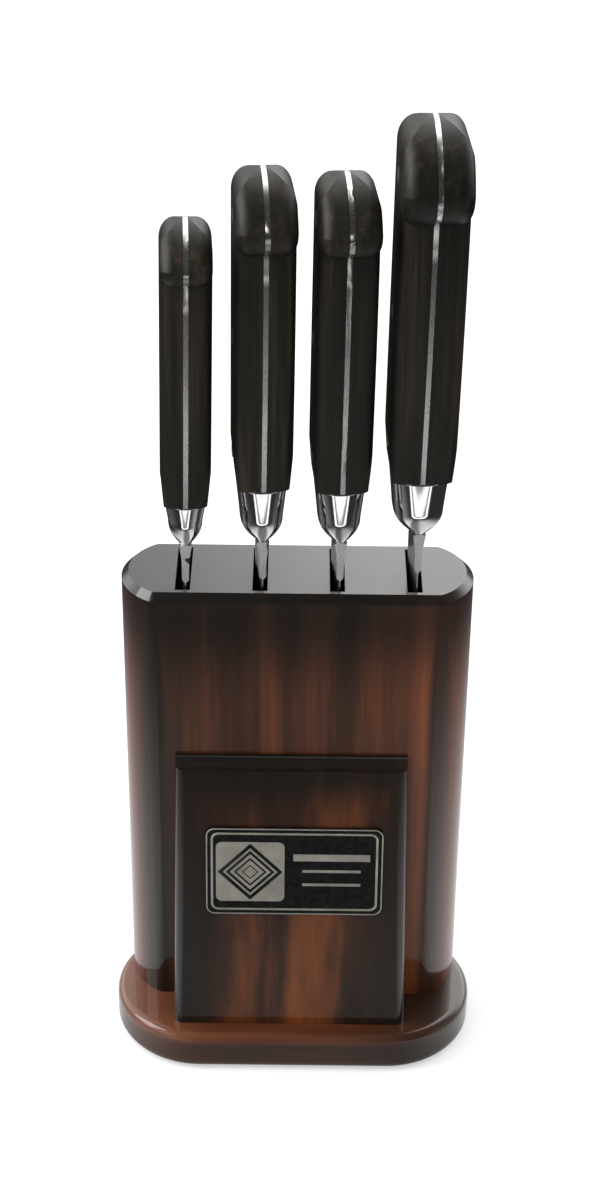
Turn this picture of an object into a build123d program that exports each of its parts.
"""Wooden knife block with four full-tang kitchen knives.

Frame: +Z up, origin at the centre of the underside of the base, front of the block towards -Y.
Each knife lies on its own plane: local X across the handle, local Y towards the spine, local Z from
the bolster to the pommel, with the local origin at the lower end of the bolster.
"""
import math
import os

from build123d import *

# ---- base plate ------------------------------------------------------------------------------
base_width = 123.0
base_depth = 60.0
base_thickness = 15.0
base_corner = 29.5
base_top_round = 3.0
base_bottom_round = 4.5
base_back_lip = 2.0        # of the base behind the block

# ---- block body ------------------------------------------------------------------------------
body_width = 113.0
flat_width = 92.4          # between the upright edges where the flat front meets the round ends
body_depth = 35.0
body_height = 162.0
arris_round = 5.0          # rounding of the four upright edges
top_chamfer = 2.3
front_wall = 3.7           # thickness of the board that closes the slots in front
back_wall = 4.3

# ---- slots -----------------------------------------------------------------------------------
slot_width = 4.8
slot_pitch = 24.5
slot_row_shift = 0.4
tip_clearance = 1.0        # from a blade's tip to the floor of its slot

# ---- front panel and its name plate ----------------------------------------------------------
panel_top_width = 76.0
panel_bottom_width = 79.0
panel_height = 102.0
panel_top_thickness = 4.7
panel_bottom_thickness = 16.0
panel_cove = 3.5           # radius of the hollow moulding along the top of the panel's face
panel_side_round = 3.0     # rounding of the face's upright edges
panel_shift = -1.3
plate_width = 59.0
plate_length = 33.3
plate_thickness = 1.0
plate_corner = 3.0
plate_rise = 61.5          # from the foot of the panel to the middle of the plate, along the slope

# ---- screws ----------------------------------------------------------------------------------
screw_diameter = 4.0
screw_head_diameter = 8.0
screw_head_height = 2.6
screw_recess = 1.0
screw_length = 34.0
screw_drive_depth = 1.6
screw_drive_width = 1.2
panel_screw_spacing = 44.0

# ---- knives ----------------------------------------------------------------------------------
blade_thickness = 2.2      # near the heel
tang_thickness = 1.5       # between the scales, and inside the bolster
point_thickness = 0.8      # of the blade at its tip
neck_length = 9.0          # over which the blade swells into the bolster
rivet_diameter = 5.0
scale_round = 4.5          # rounding along the outer edges of a handle scale
pommel_round = 0.46        # rounding of a pommel's shoulders from the front, of its width
scale_taper = 12.0         # length over which a scale narrows down to the bolster
bolster_step = 1.15        # how much narrower the bolster is than the grip, each side
bolster_draft = 1.3        # how much the bolster narrows further down to its shoulders, each side
bolster_round = 6.2        # rounding under the shoulders of a bolster
bolster_neck = 4.0         # width of the bolster's lower face
slot_play = 0.9            # from the slot's front wall to the edge of a blade


class Knife:
    """Sizes and place of one knife; lengths are along the knife, from the bolster's lower end."""

    def __init__(self, name, slot, blade_length, blade_width, handle_length, handle_width,
                 grip_depth, pommel_length, beak, bolster_height, gap, lean, twist, side_play):
        self.name = name
        self.slot = slot
        self.blade_length = blade_length
        self.blade_width = blade_width
        self.handle_length = handle_length
        self.handle_width = handle_width
        self.grip_depth = grip_depth
        self.pommel_length = pommel_length
        self.beak = beak
        self.bolster_height = bolster_height
        self.gap = gap                 # from the top of the block to the bolster
        self.lean = lean               # tilt to the side, degrees
        self.twist = twist             # turn about the knife's own length, degrees
        self.side_play = side_play     # from the slot's right wall to the heel of the blade
        self.spine = blade_width / 2 + 2.0
        self.belly = self.spine - grip_depth


knives = [
    Knife("paring_knife", 0, 90.0, 15.0, 104.8, 15.8, 19.5, 16.1, 5.0, 13.9, 15.6, 0.9, 3.5, 0.3),
    Knife("utility_knife", 1, 118.0, 18.5, 118.8, 18.4, 23.0, 21.7, 6.0, 18.5, 17.1, 0.35, 5.3, 0.45),
    Knife("kitchen_knife", 2, 125.0, 19.0, 117.3, 18.4, 23.0, 20.7, 6.0, 18.0, 16.9, 0.4, 4.7, 0.65),
    Knife("chef_knife", 3, 140.0, 22.0, 131.4, 20.8, 26.5, 27.3, 7.5, 18.7, 20.2, 0.5, 3.0, 0.8),
]

# ---- levels that follow ----------------------------------------------------------------------
body_top = base_thickness + body_height
body_centre = base_depth / 2 - base_back_lip - body_depth / 2
body_front = body_centre - body_depth / 2
body_back = body_centre + body_depth / 2
slot_front = body_front + front_wall
slot_back = body_back - back_wall
end_screw_x = (body_width + 3 * slot_pitch + slot_width) / 4
os.makedirs("parts", exist_ok=True)


def slot_x(slot):
    """Middle of a slot across the block; slots count from the left."""
    return (slot - 1.5) * slot_pitch + slot_row_shift


def save(piece, name):
    piece.label = name
    export_step(piece, f"parts/{name}.step")


# ==== base plate ==============================================================================
with BuildPart() as base_plate:
    with BuildSketch():
        RectangleRounded(base_width, base_depth, base_corner)
    extrude(amount=base_thickness)
    fillet(base_plate.edges().group_by(Axis.Z)[-1], base_top_round)
    fillet(base_plate.edges().group_by(Axis.Z)[0], base_bottom_round)
    screw_spots = [(-end_screw_x, body_centre), (end_screw_x, body_centre)]
    panel_screw_y = body_front - panel_bottom_thickness / 2
    panel_spots = [(panel_shift + side * panel_screw_spacing / 2, panel_screw_y) for side in (-1, 1)]
    with Locations(Plane.XY.offset(screw_recess)):
        with Locations(*screw_spots, *panel_spots):
            Cylinder(screw_diameter / 2, base_thickness, mode=Mode.SUBTRACT,
                     align=(Align.CENTER, Align.CENTER, Align.MIN))
            Cone(screw_head_diameter / 2, screw_diameter / 2, screw_head_height,
                 mode=Mode.SUBTRACT, align=(Align.CENTER, Align.CENTER, Align.MIN))
    with Locations(*screw_spots, *panel_spots):
        Cylinder(screw_head_diameter / 2, screw_recess, mode=Mode.SUBTRACT,
                 align=(Align.CENTER, Align.CENTER, Align.MIN))
save(base_plate.part, "base_plate")


# ==== block body: end staves, dividers, face boards and slot floors ===========================
def body_outline():
    """Plan of the block: flat front and back, shallow round ends."""
    half_flat, half_depth, half_width = flat_width / 2, body_depth / 2, body_width / 2
    with BuildSketch() as outline:
        with BuildLine():
            Line((-half_flat, -half_depth), (half_flat, -half_depth))
            ThreePointArc((half_flat, -half_depth), (half_width, 0), (half_flat, half_depth))
            Line((half_flat, half_depth), (-half_flat, half_depth))
            ThreePointArc((-half_flat, half_depth), (-half_width, 0), (-half_flat, -half_depth))
        make_face()
        fillet(outline.vertices(), arris_round)
    return Pos(0, body_centre) * outline.sketch


body_plan = body_outline()
with BuildPart() as whole_body:
    with BuildSketch(Plane.XY.offset(base_thickness)):
        add(body_plan)
    extrude(amount=body_height)
    chamfer(whole_body.edges().group_by(Axis.Z)[-1], top_chamfer)


def body_piece(x_from, x_to, y_from, y_to):
    """The part of the block's outline between two X and two Y planes."""
    with BuildPart() as piece:
        with BuildSketch(Plane.XY.offset(base_thickness)):
            with Locations(((x_from + x_to) / 2, (y_from + y_to) / 2)):
                Rectangle(x_to - x_from, y_to - y_from)
        extrude(amount=body_height)
        add(whole_body.part, mode=Mode.INTERSECT)
    return piece


slot_sides = [(slot_x(i) - slot_width / 2, slot_x(i) + slot_width / 2) for i in range(4)]
core_left, core_right = slot_sides[0][0], slot_sides[3][1]

left_end_stave = body_piece(-body_width / 2, core_left, body_front, body_back)
right_end_stave = body_piece(core_right, body_width / 2, body_front, body_back)
for stave, spot in ((left_end_stave, screw_spots[0]), (right_end_stave, screw_spots[1])):
    with stave:
        with Locations((*spot, base_thickness)):
            Cylinder(screw_diameter / 2, screw_recess + screw_length - base_thickness,
                     mode=Mode.SUBTRACT, align=(Align.CENTER, Align.CENTER, Align.MIN))
save(left_end_stave.part, "left_end_stave")
save(right_end_stave.part, "right_end_stave")

front_board = body_piece(core_left, core_right, body_front, slot_front)
save(front_board.part, "front_board")
back_board = body_piece(core_left, core_right, slot_back, body_back)
save(back_board.part, "back_board")

for number in range(3):
    divider = body_piece(slot_sides[number][1], slot_sides[number + 1][0], slot_front, slot_back)
    save(divider.part, f"divider_{number + 1}")

for knife in knives:
    floor_top = body_top + knife.gap - knife.blade_length - tip_clearance
    with BuildPart() as slot_floor:
        with BuildSketch(Plane.XY.offset(base_thickness)):
            with Locations((slot_x(knife.slot), (slot_front + slot_back) / 2)):
                Rectangle(slot_width, slot_back - slot_front)
        extrude(amount=floor_top - base_thickness)
    save(slot_floor.part, f"slot_floor_{knife.slot + 1}")


# ==== front panel: a wedge that stands on the base and leans on the block ======================
panel_face = Plane(
    origin=(panel_shift, body_front - panel_bottom_thickness, base_thickness),
    x_dir=(1, 0, 0),
    z_dir=(0, -panel_height, panel_bottom_thickness - panel_top_thickness),
)
with BuildPart() as front_panel:
    with BuildSketch(Plane.XZ.offset(-body_front)):
        with BuildLine():
            Polyline(
                (panel_shift - panel_bottom_width / 2, base_thickness),
                (panel_shift + panel_bottom_width / 2, base_thickness),
                (panel_shift + panel_top_width / 2, base_thickness + panel_height),
                (panel_shift - panel_top_width / 2, base_thickness + panel_height),
                close=True,
            )
        make_face()
    extrude(amount=panel_bottom_thickness)
    split(bisect_by=panel_face, keep=Keep.BOTTOM)
    face_edges = front_panel.faces().sort_by(Axis.Y)[0].edges().sort_by(Axis.Z)
    top_edge = face_edges[-1]
    fillet(face_edges[1:-1], panel_side_round)
    with BuildSketch(Plane(origin=top_edge @ 0.5, z_dir=top_edge % 0.5)):
        Circle(panel_cove)
    extrude(amount=panel_top_width, both=True, mode=Mode.SUBTRACT)
    with Locations(*[(x, y, base_thickness) for x, y in panel_spots]):
        Cylinder(screw_diameter / 2, screw_recess + screw_length - base_thickness,
                 mode=Mode.SUBTRACT, align=(Align.CENTER, Align.CENTER, Align.MIN))
save(front_panel.part, "front_panel")

with BuildPart() as name_plate:
    with BuildSketch(panel_face):
        with Locations((-panel_shift, plate_rise)):
            RectangleRounded(plate_width, plate_length, plate_corner)
    extrude(amount=plate_thickness)
save(name_plate.part, "name_plate")


# ==== screws ==================================================================================
def screws(spots):
    """Countersunk slotted wood screws, driven upwards from under the base."""
    with BuildPart() as group:
        with Locations(*[(x, y, screw_recess) for x, y in spots]):
            Cylinder(screw_diameter / 2, screw_length, align=(Align.CENTER, Align.CENTER, Align.MIN))
            Cone(screw_head_diameter / 2, screw_diameter / 2, screw_head_height,
                 align=(Align.CENTER, Align.CENTER, Align.MIN))
            Box(screw_head_diameter, screw_drive_width, screw_drive_depth, mode=Mode.SUBTRACT,
                align=(Align.CENTER, Align.CENTER, Align.MIN))
    return group


save(screws(screw_spots).part, "base_screws")
save(screws(panel_spots).part, "panel_screws")


# ==== knives ==================================================================================
def knife_plane(knife):
    """The knife's own plane at the lower end of its bolster; the heel lies near the slot's right wall."""
    lean, twist = math.radians(knife.lean), math.radians(knife.twist)
    heel_half = blade_thickness / 2 * math.cos(twist) + knife.blade_width / 2 * math.sin(twist)
    x = slot_x(knife.slot) + slot_width / 2 - knife.side_play - heel_half + knife.gap * math.sin(lean)
    y = slot_front + slot_play + knife.blade_width / 2
    return Plane(Location((x, y, body_top + knife.gap), (0, knife.lean, knife.twist)))


def side_plane(plane, across=0.0):
    """Plane of the knife's side view: its X runs to the spine, its Y up the handle."""
    origin = plane.from_local_coords(Vector(across, 0, 0))
    return Plane(origin=origin, x_dir=plane.y_dir, z_dir=plane.x_dir)


def front_plane(plane):
    """Plane of the knife's front view: its X runs across the handle, its Y up the handle."""
    return Plane(origin=plane.origin, x_dir=plane.x_dir, z_dir=-plane.y_dir)


def handle_outline(knife):
    """Side view of a scale, from the bolster up to the beaked pommel."""
    spine, belly, top = knife.spine, knife.belly, knife.handle_length
    crease = top - knife.pommel_length
    crown = 0.38 * knife.pommel_length
    tip = (belly - knife.beak, top - 0.60 * knife.pommel_length)
    foot = (belly + 1.2, knife.bolster_height)
    with BuildSketch() as outline:
        with BuildLine():
            Line((spine, knife.bolster_height), (spine, top - crown))
            RadiusArc((spine, top - crown), (spine - crown, top), -crown)
            TangentArc((spine - crown, top), tip, tangent=(-1, 0))
            ThreePointArc(tip, (belly - 0.7 * knife.beak, crease + 0.13 * knife.pommel_length),
                          (belly, crease))
            ThreePointArc((belly, crease), (belly - 0.6, (crease + foot[1]) / 2), foot)
            Line(foot, (spine, knife.bolster_height))
        make_face()
    return outline.sketch


def bolster_outline(knife):
    """Side view of the bolster, drawn in at its lower end to meet the blade."""
    half_blade = knife.blade_width / 2
    with BuildSketch() as outline:
        with BuildLine():
            Polyline(
                (knife.belly + 1.2, knife.bolster_height),
                (-half_blade, bolster_round),
                (-half_blade, 0),
                (half_blade, 0),
                (knife.spine, bolster_round),
                (knife.spine, knife.bolster_height),
                close=True,
            )
        make_face()
    return outline.sketch


def bolster_section(knife):
    """Section across the bolster, with rounded corners like the grip above it."""
    depth = knife.grip_depth - 1.2
    with BuildSketch() as outline:
        with Locations((0, knife.spine - depth / 2)):
            RectangleRounded(knife.handle_width - 2 * bolster_step, depth,
                             min(scale_round, 0.45 * (knife.handle_width - 2 * bolster_step)))
    return outline.sketch


def scale_front(knife, side):
    """Front view of one scale: narrower at the bolster, round-shouldered at the pommel."""
    half_handle = side * knife.handle_width / 2
    rounding = pommel_round * knife.handle_width
    bevel = rounding * (1 - math.sqrt(0.5))
    with BuildSketch() as outline:
        with BuildLine():
            Line((0, knife.bolster_height), (half_handle - side * bolster_step, knife.bolster_height))
            Line((half_handle - side * bolster_step, knife.bolster_height),
                 (half_handle, knife.bolster_height + scale_taper))
            Line((half_handle, knife.bolster_height + scale_taper),
                 (half_handle, knife.handle_length - rounding))
            ThreePointArc((half_handle, knife.handle_length - rounding),
                          (half_handle - side * bevel, knife.handle_length - bevel),
                          (half_handle - side * rounding, knife.handle_length))
            Line((half_handle - side * rounding, knife.handle_length), (0, knife.handle_length))
            Line((0, knife.handle_length), (0, knife.bolster_height))
        make_face()
    return outline.sketch


def bolster_front(knife, side):
    """Front view of one bolster half: a bell that narrows to the blade."""
    inner, neck = side * tang_thickness / 2, side * bolster_neck / 2
    top_half = side * (knife.handle_width / 2 - bolster_step)
    shoulder = top_half - side * bolster_draft
    bulge = (shoulder - 0.36 * (shoulder - neck), 0.46 * bolster_round)
    with BuildSketch() as outline:
        with BuildLine():
            Line((inner, 0), (neck, 0))
            ThreePointArc((neck, 0), bulge, (shoulder, bolster_round))
            Line((shoulder, bolster_round), (top_half, knife.bolster_height))
            Line((top_half, knife.bolster_height), (inner, knife.bolster_height))
            Line((inner, knife.bolster_height), (inner, 0))
        make_face()
    return outline.sketch


def blade_outline(knife):
    """Side view of the blade: straight spine dropping to the point, curved belly."""
    half, length = knife.blade_width / 2, knife.blade_length
    tip = (half - 0.30 * knife.blade_width, -length)
    with BuildSketch() as outline:
        with BuildLine():
            Line((-half, 0), (half, 0))
            Line((half, 0), (half, -0.70 * length))
            ThreePointArc((half, -0.70 * length), (half - 0.07 * knife.blade_width, -0.87 * length), tip)
            ThreePointArc(tip, (-half + 0.24 * knife.blade_width, -0.84 * length), (-half, -0.60 * length))
            Line((-half, -0.60 * length), (-half, 0))
        make_face()
    return outline.sketch


def blade_taper(knife):
    """Front view of the blade with its tang: swelling at the bolster, thinning to the tip."""
    half, point = blade_thickness / 2, point_thickness / 2
    tang, neck = tang_thickness / 2, bolster_neck / 2
    waist = (half, -neck_length)
    with BuildSketch() as outline:
        with BuildLine():
            Line((0, -knife.blade_length), (point, -knife.blade_length))
            Line((point, -knife.blade_length), waist)
            TangentArc(waist, (neck, 0), tangent=(half - point, knife.blade_length - neck_length))
            Line((neck, 0), (tang, 0))
            Line((tang, 0), (tang, knife.handle_length))
            Line((tang, knife.handle_length), (0, knife.handle_length))
            Line((0, knife.handle_length), (0, -knife.blade_length))
        make_face()
        mirror(about=Plane.YZ)
    return outline.sketch


def rivet_spots(knife):
    """Three rivets along the middle of the grip, in the side view."""
    middle = (knife.spine + knife.belly) / 2
    first = knife.bolster_height + 10.0
    last = knife.handle_length - 0.62 * knife.pommel_length
    return [(middle, first + (last - first) * step / 2) for step in range(3)]


for knife in knives:
    plane = knife_plane(knife)
    half_tang = tang_thickness / 2
    half_handle = knife.handle_width / 2
    handle_side, bolster_side, blade_side = handle_outline(knife), bolster_outline(knife), blade_outline(knife)
    section, taper = bolster_section(knife), blade_taper(knife)

    with BuildPart() as blade:
        with BuildSketch(side_plane(plane)):
            add(handle_side)
            add(bolster_side)
            add(blade_side)
            with Locations(*rivet_spots(knife)):
                Circle(rivet_diameter / 2, mode=Mode.SUBTRACT)
        extrude(amount=bolster_neck / 2, both=True)
        with BuildSketch(front_plane(plane)):
            add(taper)
        extrude(amount=2 * knife.grip_depth, both=True, mode=Mode.INTERSECT)
    save(blade.part, f"{knife.name}_blade")

    for side, hand in ((-1, "left"), (1, "right")):
        scale_face, bolster_face = scale_front(knife, side), bolster_front(knife, side)

        with BuildPart() as scale:
            with BuildSketch(side_plane(plane, side * half_tang)):
                add(handle_side)
            extrude(amount=side * (half_handle - half_tang))
            outer = scale.faces().sort_by(Axis(plane.origin, plane.x_dir))[-1 if side > 0 else 0]
            lower = outer.edges().sort_by(Axis(plane.origin, plane.z_dir))[0]
            fillet(outer.edges() - ShapeList([lower]), scale_round)
            with BuildSketch(front_plane(plane)):
                add(scale_face)
            extrude(amount=2 * knife.grip_depth, both=True, mode=Mode.INTERSECT)
            with BuildSketch(side_plane(plane)):
                with Locations(*rivet_spots(knife)):
                    Circle(rivet_diameter / 2)
            extrude(amount=side * half_handle, mode=Mode.SUBTRACT)
        save(scale.part, f"{knife.name}_{hand}_scale")

        with BuildPart() as bolster:
            with BuildSketch(front_plane(plane)):
                add(bolster_face)
            extrude(amount=2 * knife.grip_depth, both=True)
            with BuildSketch(side_plane(plane)):
                add(bolster_side)
            extrude(amount=side * knife.handle_width, mode=Mode.INTERSECT)
            with BuildSketch(plane):
                add(section)
            extrude(amount=knife.bolster_height, mode=Mode.INTERSECT)
        save(bolster.part, f"{knife.name}_{hand}_bolster")

    with BuildPart() as rivets:
        with BuildSketch(side_plane(plane)):
            with Locations(*rivet_spots(knife)):
                Circle(rivet_diameter / 2)
        extrude(amount=half_handle, both=True)
    save(rivets.part, f"{knife.name}_rivets")
